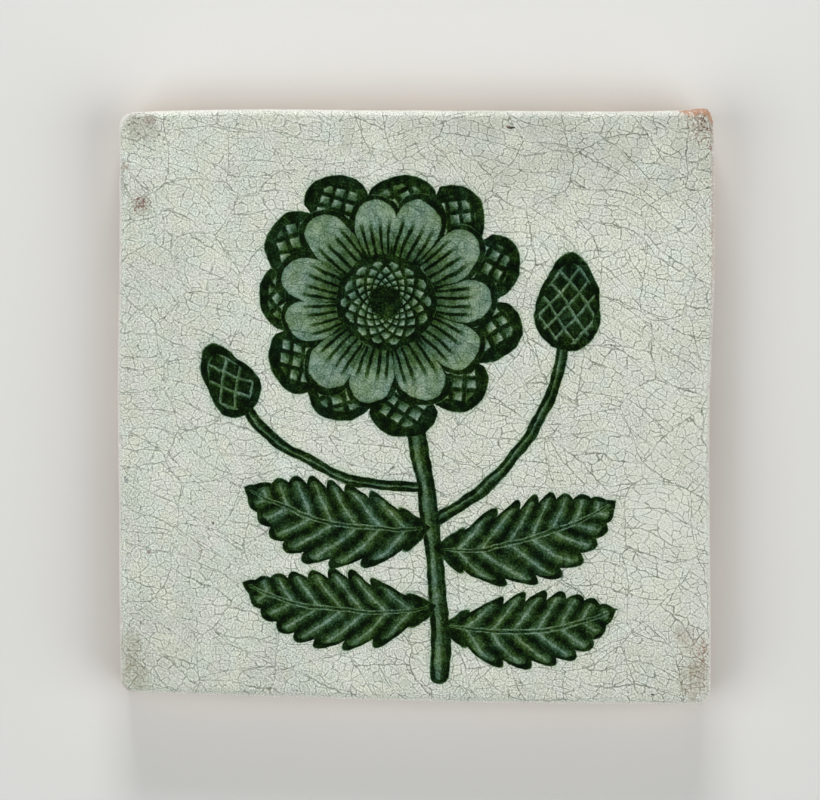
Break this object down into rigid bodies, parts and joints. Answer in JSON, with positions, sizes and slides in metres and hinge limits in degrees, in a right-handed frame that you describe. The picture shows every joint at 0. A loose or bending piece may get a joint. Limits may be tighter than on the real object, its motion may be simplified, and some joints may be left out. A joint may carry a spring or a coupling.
{
  "type": "art tile",
  "caption": "Square wall tile of glazed earthenware with a green painted flower, crackled glaze, rounded rim and a back keyed with grooves.",
  "frame": {"origin": "on the bed plane, under the middle of the tile's bounding box, with the glazed face up", "axes": "+X to the right of the picture, +Y to the picture's top edge, +Z out of the glazed face"},
  "size_m": [0.1538, 0.1532, 0.016],
  "materials": {
    "glazed_earthenware": "off-white crackled glaze over green painting, bare buff clay on the sides and back"
  },
  "bodies": {
    "root": {"tile": "glazed_earthenware"}
  },
  "joints": []
}
